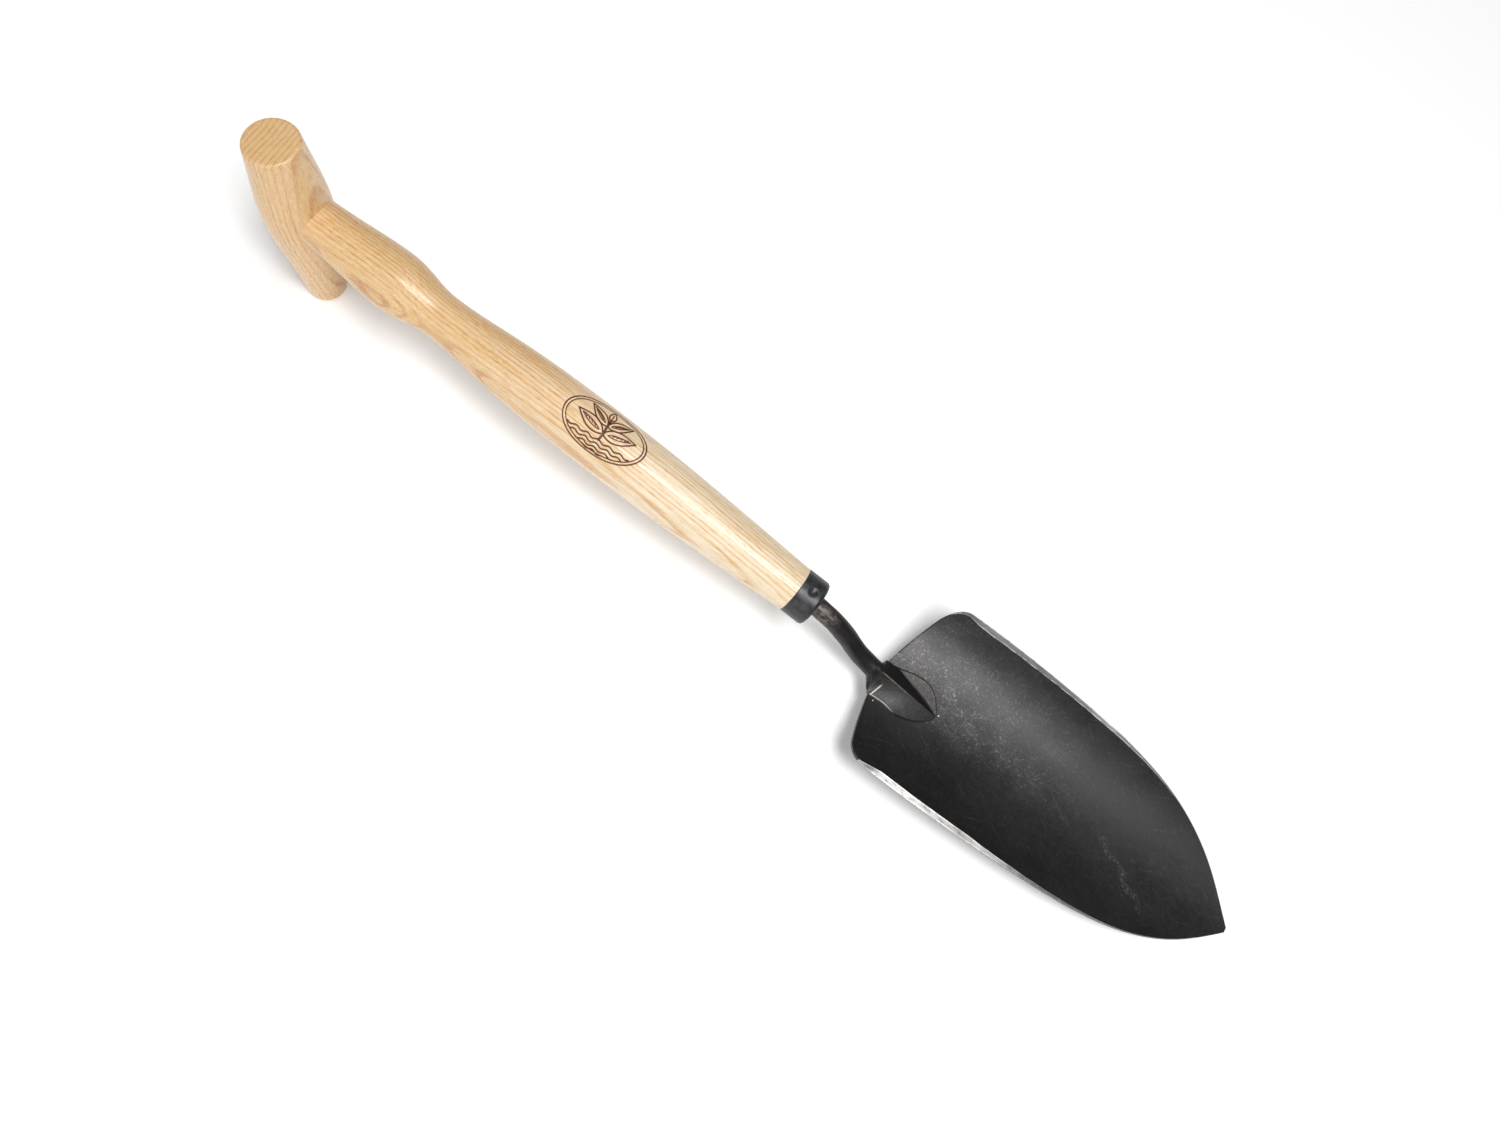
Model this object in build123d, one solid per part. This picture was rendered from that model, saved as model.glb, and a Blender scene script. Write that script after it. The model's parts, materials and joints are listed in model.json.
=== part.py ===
from build123d import *
import math
import os

# Hand transplanter: a long dished steel blade on a cranked forged neck, a turned ash shaft with a
# steel ferrule, and a short turned ash cross grip. Millimetres and degrees.
#
# The pieces are made in the tool's own frame: X along the shaft towards the blade's point, Z out of
# the blade's hollow side, and zero on the shaft's axis at the ferrule's front face. The finished
# tool is then laid down, hollow side up, on the grip's long end and the blade's point.

# Blade
BLADE_REAR = 39.1          # middle of the rear edge
BLADE_LENGTH = 180.0
BLADE_WIDTH = 78.8
BLADE_THICKNESS = 2.0
HOLLOW_RADIUS = 62.0       # across the blade, on the hollow face
HOLLOW_DROP = 14.8         # from the shaft's axis to the hollow's bottom at the rear edge
BLADE_RISE = 1.9           # angle of the hollow's bottom to the shaft, rising to the point
LEFT_SHOULDER = (7.4, 9.6)     # how far the rear edge sweeps forward, and the corner's radius
RIGHT_SHOULDER = (3.8, 6.6)
POINT_BLUNT = 1.1          # half the width of the blunted point
GROUND_AT = 60.0           # a place on the flat that the sides are ground to
GROUND_DROP = 2.3
GROUND_TILT = 2.1

# Neck, one forging with its tang and its foot
NECK_DIAMETER = 8.1
NECK_STRAIGHT = 3.0
NECK_DROP = 12.8
NECK_BEND = 39.1
NECK_LEAN = 2.8            # to the right, which sets the foot a little beside the blade's middle
TANG_LENGTH = 62.0
TANG_END_DIAMETER = 4.6
FOOT_LENGTH = 29.4         # from the blade's rear edge
FOOT_ASIDE = 1.9           # from the blade's middle to the ridge
FOOT_LEFT = [(1.6, 7.0), (11.5, 9.0), (18.0, 9.8), (22.8, 8.5), (26.8, 4.8)]
FOOT_RIGHT = [(1.2, 9.4), (8.0, 9.0), (14.5, 9.8), (19.5, 8.7), (25.6, 5.2)]
FOOT_THICKNESS = 0.8
ROOF_HALF_WIDTH = 8.2      # of the ridge, at the blade's rear edge
ROOF_FLARE = 3.5           # in which the round neck spreads to that width

# Ferrule and its pin
FERRULE_LENGTH = 10.2
FERRULE_DIAMETER = 19.6
FERRULE_WALL = 1.0
FERRULE_FRONT = 1.3
FERRULE_ROUND = 1.6
PIN_DIAMETER = 2.6
PIN_LENGTH = 14.5
PIN_SUNK = 0.55
DIMPLE_RADIUS = 3.6

# Shaft
GRIP_AT = 245.6            # the grip's axis, behind the ferrule's front face
MOUTH_RADIUS = 9.7         # of the wood where it leaves the ferrule
MAIN_SWELL_AT, MAIN_SWELL_RADIUS = 95.5, 12.7
WAIST_AT, WAIST_RADIUS = 179.0, 9.0
HAND_SWELL_AT, HAND_SWELL_RADIUS = 199.5, 12.0
JOINT_RADIUS = 9.6
TENON_DIAMETER = 12.0
TENON_PAST_AXIS = 5.0

# Grip, turned about an axis that leans back
GRIP_LEAN = 12.8
GRIP_SHORT, GRIP_SHORT_RADIUS = 35.5, 10.4
GRIP_LONG, GRIP_LONG_RADIUS = 55.0, 7.8
GRIP_BELLY_RADIUS = 13.35
GRIP_EASE = 1.2

BLADE_POINT = BLADE_REAR + BLADE_LENGTH
HALF_WIDTH = BLADE_WIDTH / 2
RISE = math.radians(BLADE_RISE)


def hollow_bottom(x):
    """Height of the bottom of the blade's hollow face."""
    return -HOLLOW_DROP + (x - BLADE_REAR) * math.tan(RISE)


def trough(radius):
    """A long cylinder whose lower side follows the blade, radius from the axis of its hollow."""
    middle = BLADE_REAR + BLADE_LENGTH / 2
    height = hollow_bottom(middle) + HOLLOW_RADIUS / math.cos(RISE)
    return Pos(middle, 0, height) * Rot(0, 90 - BLADE_RISE, 0) * Cylinder(radius, 2 * BLADE_LENGTH)


def blade_side(shoulder):
    """Half the blade's outline from above: bowed rear edge, round corner, long side to the point."""
    sweep_forward, corner_radius = shoulder
    corner_start = (BLADE_REAR + sweep_forward, HALF_WIDTH - corner_radius)
    corner_end = (corner_start[0] + corner_radius, HALF_WIDTH - 0.3)
    bow = (BLADE_REAR + 0.45 * sweep_forward, 0.5 * corner_start[1])
    rear = ThreePointArc((BLADE_REAR, 0), bow, corner_start)
    corner = Spline([corner_start, corner_end], tangents=[rear % 1, (1, 0.04)])
    side = Spline(
        [
            corner_end,
            (BLADE_POINT - 147, HALF_WIDTH),
            (BLADE_POINT - 90, HALF_WIDTH - 2.3),
            (BLADE_POINT - 46, HALF_WIDTH - 9.7),
            (BLADE_POINT - 18, HALF_WIDTH - 23.0),
            (BLADE_POINT, POINT_BLUNT),
        ],
        tangents=[(1, 0.04), (0.72, -0.69)],
    )
    end = Line((BLADE_POINT, POINT_BLUNT), (BLADE_POINT, 0))
    return Curve() + [rear, corner, side, end]


def blade_plan():
    """The hand-cut outline, whose left shoulder slopes more than its right."""
    return make_face(blade_side(LEFT_SHOULDER) + mirror(blade_side(RIGHT_SHOULDER), Plane.XZ))


def upright(face):
    """A block through the whole height of the blade, over a face drawn from above."""
    return extrude(Pos(0, 0, -40) * face, 45)


def make_blade():
    """Dished sheet with its sides ground to one flat, from the shoulders to about half way."""
    sheet = (upright(blade_plan()) & trough(HOLLOW_RADIUS + BLADE_THICKNESS)) - trough(HOLLOW_RADIUS)
    grinder = Pos(GROUND_AT, 0, -GROUND_DROP) * Rot(0, -GROUND_TILT, 0) * Box(
        3 * BLADE_LENGTH, 2 * BLADE_WIDTH, 30, align=(Align.CENTER, Align.CENTER, Align.MIN)
    )
    return sheet - grinder


def foot_side(widths):
    """Half the foot's outline, through places along the blade and distances from the ridge."""
    rear = (BLADE_REAR + 0.4, 0)
    tip = (BLADE_REAR + FOOT_LENGTH, 0)
    edge = [(BLADE_REAR + along, across) for along, across in widths]
    side = Spline([*edge, tip], tangents=[(1, -0.05), (0.15, -1)])
    return Curve() + [Line(rear, edge[0]), side]


def foot_plan():
    """Tongue-shaped outline of the foot, narrower on its left side and widest past its middle."""
    outline = foot_side(FOOT_LEFT) + mirror(foot_side(FOOT_RIGHT), Plane.XZ)
    return Pos(0, -FOOT_ASIDE, 0) * make_face(outline)


def roof_section(x, half_width, crest):
    """Section of the foot's sharp ridge at x. Its base lies inside the sheet."""
    base = hollow_bottom(x) - BLADE_THICKNESS / 2
    outline = Polyline((-half_width, base), (0, crest), (half_width, base), close=True)
    return Plane((x, -FOOT_ASIDE, 0), x_dir=(0, 1, 0), z_dir=(1, 0, 0)) * make_face(outline)


def make_neck(blade):
    """Tapered tang, cranked round neck, and the ridged foot that is welded on the hollow face."""
    radius = NECK_DIAMETER / 2
    bend_radius = NECK_DROP / 2 / (1 - math.cos(math.radians(NECK_BEND)))
    straight = Line((0, 0), (NECK_STRAIGHT, 0))
    down = JernArc(straight @ 1, straight % 1, bend_radius, -NECK_BEND)
    level = JernArc(down @ 1, down % 1, bend_radius, NECK_BEND + BLADE_RISE)
    landing = Line(level @ 1, level @ 1 + (level % 1) * radius)
    path = Plane.XZ * (Curve() + [straight, down, level, landing])
    bar = sweep(Plane.YZ * Circle(radius), path)
    tang = Rot(0, -90, 0) * Cone(
        radius, TANG_END_DIAMETER / 2, TANG_LENGTH, align=(Align.CENTER, Align.CENTER, Align.MIN)
    )
    neck = Rot(0, 0, -NECK_LEAN) * (bar + tang)

    tip = BLADE_REAR + FOOT_LENGTH
    top = (level @ 1).Y + radius
    ridge = loft(
        [
            roof_section(BLADE_REAR - ROOF_FLARE, radius, top),
            roof_section(BLADE_REAR, ROOF_HALF_WIDTH, top),
            roof_section(BLADE_REAR + FOOT_LENGTH / 3, 0.76 * ROOF_HALF_WIDTH, top - 1.6),
            roof_section(tip, 0.35, hollow_bottom(tip) + 0.5),
        ],
        ruled=True,
    )
    foot = (upright(foot_plan()) & trough(HOLLOW_RADIUS)) - trough(HOLLOW_RADIUS - FOOT_THICKNESS)
    return (neck + ridge + foot) - blade


def make_pin():
    """Nail through the top of the ferrule and the tang, its domed head sunk in the dimple."""
    radius = PIN_DIAMETER / 2
    top = FERRULE_DIAMETER / 2 - PIN_SUNK
    shank = Pos(-FERRULE_LENGTH / 2, 0, top) * Cylinder(
        radius, PIN_LENGTH, align=(Align.CENTER, Align.CENTER, Align.MAX)
    )
    return fillet(shank.edges().sort_by(Axis.Z)[-1], 0.35)


def make_ferrule(neck, pin):
    """Drawn steel cup with a rounded front rim, pierced for the tang and the pin."""
    radius = FERRULE_DIAMETER / 2
    cup = Rot(0, -90, 0) * Cylinder(
        radius, FERRULE_LENGTH, align=(Align.CENTER, Align.CENTER, Align.MIN)
    )
    cup = fillet(cup.edges().filter_by(GeomType.CIRCLE).sort_by(Axis.X)[-1], FERRULE_ROUND)
    inside = Pos(-FERRULE_FRONT, 0, 0) * Rot(0, -90, 0) * Cylinder(
        radius - FERRULE_WALL, FERRULE_LENGTH, align=(Align.CENTER, Align.CENTER, Align.MIN)
    )
    dimple = Pos(-FERRULE_LENGTH / 2, 0, radius + DIMPLE_RADIUS - PIN_SUNK) * Sphere(DIMPLE_RADIUS)
    return cup - inside - dimple - neck - pin


def grip_bar():
    """The turned cross bar before it is bored, belly at the shaft, with eased flat ends."""
    outline = Spline(
        [
            (GRIP_LONG_RADIUS, -GRIP_LONG),
            (GRIP_BELLY_RADIUS - 2.5, -0.52 * GRIP_LONG),
            (GRIP_BELLY_RADIUS, 0),
            (GRIP_BELLY_RADIUS - 1.3, 0.52 * GRIP_SHORT),
            (GRIP_SHORT_RADIUS, GRIP_SHORT),
        ]
    )
    long_end = Line((0, -GRIP_LONG), (GRIP_LONG_RADIUS, -GRIP_LONG))
    short_end = Line((GRIP_SHORT_RADIUS, GRIP_SHORT), (0, GRIP_SHORT))
    axis = Line((0, GRIP_SHORT), (0, -GRIP_LONG))
    section = Plane.XZ * make_face(Curve() + [long_end, outline, short_end, axis])
    bar = revolve(section, Axis.Z)
    bar = fillet(bar.edges().filter_by(GeomType.CIRCLE), GRIP_EASE)
    return Pos(-GRIP_AT, 0, 0) * Rot(0, -GRIP_LEAN, 0) * bar


def tenon():
    """Round tongue on the shaft's end, through most of the grip."""
    length = GRIP_BELLY_RADIUS + 6.0 + TENON_PAST_AXIS
    return Pos(-GRIP_AT - TENON_PAST_AXIS, 0, 0) * Rot(0, 90, 0) * Cylinder(
        TENON_DIAMETER / 2, length, align=(Align.CENTER, Align.CENTER, Align.MIN)
    )


def make_shaft(bar, neck, ferrule, pin):
    """Turned ash shaft: spigot in the ferrule, main swell, waist, hand swell, coped end and tenon."""
    spigot_radius = FERRULE_DIAMETER / 2 - FERRULE_WALL
    mouth = (-FERRULE_LENGTH, MOUTH_RADIUS)
    main_swell = (-MAIN_SWELL_AT, MAIN_SWELL_RADIUS)
    before_waist = (-MAIN_SWELL_AT - 54, MAIN_SWELL_RADIUS - 1.6)
    waist = (-WAIST_AT, WAIST_RADIUS)
    hand_swell = (-HAND_SWELL_AT, HAND_SWELL_RADIUS)
    before_joint = (-HAND_SWELL_AT - 24, JOINT_RADIUS + 0.6)
    joint = (-GRIP_AT, JOINT_RADIUS - 0.6)
    level = (-1, 0)
    outline = Curve() + [
        Spline([mouth, main_swell], tangents=[(-1, 0.045), level]),
        Spline([main_swell, before_waist, waist], tangents=[level, level]),
        Spline([waist, hand_swell], tangents=[level, level]),
        Spline([hand_swell, before_joint, joint], tangents=[level, (-1, -0.03)]),
    ]
    ends = Polyline(
        joint,
        (-GRIP_AT, 0),
        (-FERRULE_FRONT, 0),
        (-FERRULE_FRONT, spigot_radius),
        (-FERRULE_LENGTH, spigot_radius),
        mouth,
    )
    body = revolve(Plane.XZ * make_face(Curve() + [outline, ends]), Axis.X)
    return body - bar + tenon() - neck - ferrule - pin


def laid_down():
    """Rotation that brings the grip's long end and the blade's point down to one level table."""
    lean = math.radians(GRIP_LEAN)
    edge_radius = GRIP_LONG_RADIUS - GRIP_EASE
    edge_depth = GRIP_LONG - GRIP_EASE
    edge_x = -GRIP_AT + edge_depth * math.sin(lean) - edge_radius * math.cos(lean)
    edge_z = -edge_depth * math.cos(lean) - edge_radius * math.sin(lean)
    point_z = hollow_bottom(BLADE_POINT) - BLADE_THICKNESS / math.cos(RISE)
    run, rise = BLADE_POINT - edge_x, point_z - edge_z
    pitch = math.atan2(rise, run) + math.asin(GRIP_EASE / math.hypot(run, rise))
    return Rot(0, math.degrees(pitch), 0)


blade = make_blade()
neck = make_neck(blade)
ferrule_pin = make_pin()
ferrule = make_ferrule(neck, ferrule_pin)
bar = grip_bar()
shaft = make_shaft(bar, neck, ferrule, ferrule_pin)
neck = neck - ferrule_pin
grip = bar - tenon()

pieces = {
    "blade": blade,
    "neck": neck,
    "ferrule": ferrule,
    "ferrule_pin": ferrule_pin,
    "shaft": shaft,
    "grip": grip,
}
lay = laid_down()
box = Compound([lay * piece for piece in pieces.values()]).bounding_box()
to_table = Pos(-box.center().X, 0, -box.min.Z) * lay     # origin under the middle of the tool

os.makedirs("parts", exist_ok=True)
for name, piece in pieces.items():
    export_step(to_table * piece, f"parts/{name}.step")
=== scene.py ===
import json
from math import copysign, cos, hypot, pi, radians, sin, sqrt, tan

import bmesh
import bpy
import numpy as np
from mathutils import Matrix, Vector, noise


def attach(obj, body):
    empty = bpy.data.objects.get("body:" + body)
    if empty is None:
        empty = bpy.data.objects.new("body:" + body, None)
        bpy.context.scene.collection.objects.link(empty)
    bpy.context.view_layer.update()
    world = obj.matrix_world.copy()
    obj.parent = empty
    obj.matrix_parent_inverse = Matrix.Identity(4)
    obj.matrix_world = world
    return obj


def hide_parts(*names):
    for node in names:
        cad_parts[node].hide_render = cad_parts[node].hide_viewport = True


# Looks of the hand transplanter. Lengths are millimetres in the tool's own frame: X along the shaft
# towards the blade's point, Z out of the blade's hollow side, and zero on the shaft's axis at the
# ferrule's front face. place() lays the pieces down in the row frame, in metres.

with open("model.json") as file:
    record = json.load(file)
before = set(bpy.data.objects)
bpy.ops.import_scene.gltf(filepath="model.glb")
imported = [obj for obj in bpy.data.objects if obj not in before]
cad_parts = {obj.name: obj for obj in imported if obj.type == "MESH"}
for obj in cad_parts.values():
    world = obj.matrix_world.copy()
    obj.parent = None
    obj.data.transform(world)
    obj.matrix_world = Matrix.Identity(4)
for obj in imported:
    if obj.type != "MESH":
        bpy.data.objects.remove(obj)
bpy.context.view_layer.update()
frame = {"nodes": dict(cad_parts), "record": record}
MM = 0.001
mounts = {mount["name"]: mount for mount in frame["record"]["mounts"]}


def tool_to_row():
    """Matrix from the tool's own frame to the row frame, from the waist's mount and the ferrule."""
    along = Vector(mounts["clip_waist"]["axis"])
    side = Vector((0, 1, 0))
    waist = Vector(mounts["clip_waist"]["pos_m"])
    front = max((v.co - waist).dot(along) for v in frame["nodes"]["ferrule"].data.vertices)
    turn = Matrix((along, side, along.cross(side))).transposed().to_4x4()
    return Matrix.Translation(waist + along * front) @ turn @ Matrix.Scale(MM, 4)


TO_ROW = tool_to_row()
TO_TOOL = TO_ROW.inverted()


def tool_box(node, to_frame=TO_TOOL):
    """Lowest and highest corner of a CAD node in the tool's own frame."""
    corners = [to_frame @ v.co for v in frame["nodes"][node].data.vertices]
    return (Vector([min(c[i] for c in corners) for i in range(3)]),
            Vector([max(c[i] for c in corners) for i in range(3)]))


def grip_to_tool():
    """Matrix from the grip's own frame, Z up its axis and zero on the shaft's axis, to the tool's."""
    short = TO_TOOL @ Vector(mounts["short_end"]["pos_m"])
    long = TO_TOOL @ Vector(mounts["long_end"]["pos_m"])
    up = (short - long).normalized()
    crossing = long - up * (long.z / up.z)
    side = Vector((0, 1, 0))
    turn = Matrix((side.cross(up), side, up)).transposed().to_4x4()
    return Matrix.Translation(crossing) @ turn


GRIP_TO_TOOL = grip_to_tool()
TOOL_TO_GRIP = GRIP_TO_TOOL.inverted()

blade_low, blade_high = tool_box("blade")
ferrule_low, ferrule_high = tool_box("ferrule")
pin_low, pin_high = tool_box("ferrule_pin")
neck_high = tool_box("neck")[1]
grip_low, grip_high = tool_box("grip", TOOL_TO_GRIP @ TO_TOOL)

# Blade
BLADE_REAR, BLADE_POINT = blade_low.x, blade_high.x
HALF_WIDTH = blade_high.y
THICKNESS = 2.0
HOLLOW_RADIUS = 62.0
HOLLOW_DROP = 14.8
RISE = radians(1.9)
LEFT_SHOULDER = (7.4, 9.6)      # how far the rear edge sweeps forward, and the corner's radius
RIGHT_SHOULDER = (3.8, 6.6)
POINT_BLUNT = 1.1
EDGE_EASE = 0.35
SIDE = [(147, 0), (90, 2.3), (46, 9.7), (18, 23.0)]     # behind the point, and in from the full width
POINT_SLOPE = (0.72, -0.69)
# The ground edges: how far below the shaft's axis they are at one x, how they rise, and (x, width).
GROUND_AT, GROUND_DROP = 60.0, 2.3
GROUND_RISE = radians(2.1)
LEFT_GROUND = [
    (49, 0.35), (54, 1.7), (61, 2.7), (70, 2.9), (97, 2.4), (121, 1.8), (145, 1.1), (175, 0.35),
]
RIGHT_GROUND = [
    (48, 0.35), (53, 1.5), (58, 2.6), (80, 2.4), (97, 2.5), (112, 1.8), (140, 1.0), (175, 0.35),
]
# Across a ground strip from its inner line: the part of its width, and how much painted highlight it
# gets there, brightest near the inner line where the burr catches the light.
STRIP = [(0.09, 1.0), (0.2, 0.0), (0.5, 0.0), (0.8, 0.0), (0.92, 0.7), (1.0, 0.7)]
WAVE = 0.09

# Neck and foot
NECK_RADIUS = 4.05
NECK_STRAIGHT = 3.0
NECK_DROP = 12.8
NECK_BEND = radians(39.1)
NECK_LEAN = radians(2.8)        # to the right
FOOT_REAR = BLADE_REAR + 0.1
FOOT_TIP = neck_high.x
FOOT_ASIDE = 1.9                # from the blade's middle to the ridge
# The foot's outline: distance from the blade's rear edge and from the ridge.
FOOT_LEFT = [(0, 6.9), (1.6, 7.0), (11.5, 9.0), (18.0, 9.8), (22.8, 8.5), (26.8, 4.8)]
FOOT_RIGHT = [(0, 9.4), (1.2, 9.4), (8.0, 9.0), (14.5, 9.8), (19.5, 8.7), (25.6, 5.2)]
ROOF_HALF_WIDTH = 8.6
FOOT_THICKNESS = 0.75
FLARE = 4.2                     # the length in which the bar spreads into the foot
STEP_SLANT = 0.27               # of the step behind the foot's right half
BEADS = [(FOOT_TIP + 0.9, -0.6, 0.62), (FOOT_REAR + 3.9, -12.4, 0.42)]      # x, y and size
# Up a bead of size 1: height, radius and how bare it is.
BEAD = [
    (-0.5, 1.5, -1), (0.03, 1.5, -1), (0.08, 1.05, -0.8), (0.35, 0.95, 0.3),
    (0.7, 0.7, 0.8), (0.9, 0.35, 0.9), (0.95, 0.1, 0.9),
]

# Ferrule and pin
FERRULE_LENGTH = ferrule_high.x - ferrule_low.x
FERRULE_RADIUS = ferrule_high.y
FERRULE_ROUND = 1.6
FERRULE_WALL = 1.0
FERRULE_FRONT = 1.3
PIN_RADIUS = pin_high.y
PIN_SET = 0.15                  # below the CAD pin's top
# The nail's head, as depths and radii, and its shank. They are drawn for a pin of radius NAIL_DRAWN.
NAIL_HEAD = [(0, 0.02), (0.03, 0.35), (0.12, 0.7), (0.28, 0.98), (0.5, 1.12)]
NAIL_SHANK, NAIL_DRAWN = 1.15, 1.3
DIMPLE_DEPTH = 0.75
DIMPLE_RADIUS = 2.4

# Shaft. Its pairs are distance behind the ferrule's front face, and radius.
MOUTH_RADIUS = 9.7
MAIN_SWELL = (95.5, 12.7)
BEFORE_WAIST = (149.5, 11.1)
WAIST = (179.0, 9.0)
HAND_SWELL = (199.5, 12.0)
BEFORE_JOINT = (223.5, 10.2)
JOINT_RADIUS = 9.0
MARK_AT = 104.6                 # the burnt mark's middle, behind the ferrule's front face
MARK_TURN = radians(-2.3)
MARK_SLANT = radians(3.5)
MARK_LENGTH, MARK_WIDTH = 35.1, 21.4
GRAIN_TURN = Matrix.Rotation(radians(-8), 4, "X")
SPIGOT_RADIUS = FERRULE_RADIUS - FERRULE_WALL

# Grip
GRIP_LONG, GRIP_LONG_RADIUS = -grip_low.z, 7.8
GRIP_SHORT, GRIP_SHORT_RADIUS = grip_high.z, 10.4
GRIP_BELLY_RADIUS = 13.35
GRIP_EASE = 1.2


# ---- curves and skins ----


def lengths(points):
    """Distance along a line of points, at each of them."""
    return np.concatenate([[0], np.cumsum(np.linalg.norm(np.diff(points, axis=0), axis=1))])


def smooth_curve(points, start=None, end=None, count=40):
    """Points along the smoothest curve through points, with unit directions start and end."""
    points = np.array(points, float)
    knots = lengths(points)
    steps = np.diff(knots)
    slopes = np.diff(points, axis=0) / steps[:, None]
    n = len(points)
    left, right = np.zeros((n, n)), np.zeros_like(points)
    for i in range(1, n - 1):
        left[i, i - 1:i + 2] = steps[i], 2 * (steps[i - 1] + steps[i]), steps[i - 1]
        right[i] = 3 * (steps[i] * slopes[i - 1] + steps[i - 1] * slopes[i])
    for row, beside, direction, slope in ((0, 1, start, slopes[0]), (n - 1, n - 2, end, slopes[-1])):
        left[row, row] = 1 if direction is not None else 2
        left[row, beside] = 0 if direction is not None else 1
        right[row] = np.array(direction) if direction is not None else 3 * slope
    tangents = np.linalg.solve(left, right)
    curve = []
    for s in np.linspace(0, knots[-1], count + 1):
        i = min(int(np.searchsorted(knots, s, side="right")) - 1, n - 2)
        t, h = (s - knots[i]) / steps[i], steps[i]
        curve.append(
            points[i] * (1 + 2 * t) * (1 - t) ** 2
            + tangents[i] * h * t * (1 - t) ** 2
            + points[i + 1] * t * t * (3 - 2 * t)
            - tangents[i + 1] * h * t * t * (1 - t)
        )
    return np.array(curve)


def evenly(curve, count):
    """The same curve with count equal steps."""
    length = lengths(curve)
    wanted = np.linspace(0, length[-1], count + 1)
    return np.stack([np.interp(wanted, length, curve[:, k]) for k in range(curve.shape[1])], axis=1)


def ease(x, low, high):
    """0 below low, 1 above high, and a smooth ramp between."""
    t = min(max((x - low) / (high - low), 0.0), 1.0)
    return t * t * (3 - 2 * t)


def ring(x, radius, sectors):
    """Points around the X axis."""
    turns = [2 * pi * j / sectors for j in range(sectors)]
    return [Vector((x, radius * sin(a), radius * cos(a))) for a in turns]


def skin(rings, wrapped=False):
    """Points and faces of a skin over rings. Each end gets a middle point, unless it is wrapped."""
    sectors, count = len(rings[0]), len(rings)
    points = [p for r in rings for p in r]
    faces = []
    for a in range(count if wrapped else count - 1):
        b = (a + 1) % count
        for j in range(sectors):
            k = (j + 1) % sectors
            faces.append((a * sectors + j, a * sectors + k, b * sectors + k, b * sectors + j))
    if not wrapped:
        for start in (0, (count - 1) * sectors):
            centre = sum((points[start + j] for j in range(sectors)), Vector()) / sectors
            points.append(centre)
            faces += [(start + j, start + (j + 1) % sectors, len(points) - 1) for j in range(sectors)]
    return points, faces


def place(name, points, faces, materials, node, slot, face_materials=None, sharp=40, **values):
    """A piece made of these points and faces, laid down in the row frame, for one CAD node."""
    mesh = bpy.data.meshes.new(name)
    mesh.from_pydata([TO_ROW @ Vector(p) for p in points], [], faces)
    for material in materials:
        mesh.materials.append(material)
    if face_materials:
        mesh.polygons.foreach_set("material_index", face_materials)
    for value_name, numbers in values.items():
        attribute = mesh.attributes.new(value_name, "FLOAT", "POINT")
        attribute.data.foreach_set("value", list(numbers) + [0.0] * (len(points) - len(numbers)))
    shape = bmesh.new()
    shape.from_mesh(mesh)
    bmesh.ops.recalc_face_normals(shape, faces=shape.faces)
    shape.to_mesh(mesh)
    shape.free()
    mesh.shade_smooth()
    mesh.set_sharp_from_angle(angle=radians(sharp))
    piece = bpy.data.objects.new(name, mesh)
    bpy.context.scene.collection.objects.link(piece)
    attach(piece, "root")
    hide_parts(node)
    return piece


# ---- materials ----

MIX_A, MIX_B, MIX_RESULT = 6, 7, 2      # the colour sockets of a mix node
# WOOD_WARM and LINE_WARM are the wood's warmer tones. On the shaft they also serve as painted shade
# towards its grip end.
WOOD_PALE, WOOD_WARM = (0.87, 0.73, 0.53), (0.745, 0.475, 0.195)
LINE_PALE, LINE_WARM = (0.67, 0.36, 0.10), (0.54, 0.215, 0.045)
SCUFF_SLANT, SCUFF_AT = 0.6, -92.5      # the blade's scuff runs where y + SLANT * x + AT is 0


class Value:
    """A number that varies over a piece. Sums and products of such numbers add maths nodes."""

    def __init__(self, look, socket):
        self.look, self.socket = look, socket

    def maths(self, operation, other=0.0):
        """The result of one maths node for this number and another."""
        return self.look.value("Math", "Value", {0: self, 1: other}, operation=operation)

    def __add__(self, other):
        return self.maths("ADD", other)

    def __sub__(self, other):
        return self.maths("SUBTRACT", other)

    def __mul__(self, other):
        return self.maths("MULTIPLY", other)

    def __rsub__(self, other):
        return self.look.value("Math", "Value", {0: other, 1: self}, operation="SUBTRACT")

    def ramp(self, low, high, to_low=0.0, to_high=1.0):
        """A smooth ramp, which may also fall from a high number to a low one."""
        return self.look.value("MapRange", "Result", {
            "Value": self, "From Min": low, "From Max": high, "To Min": to_low, "To Max": to_high,
        }, interpolation_type="SMOOTHSTEP")


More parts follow.
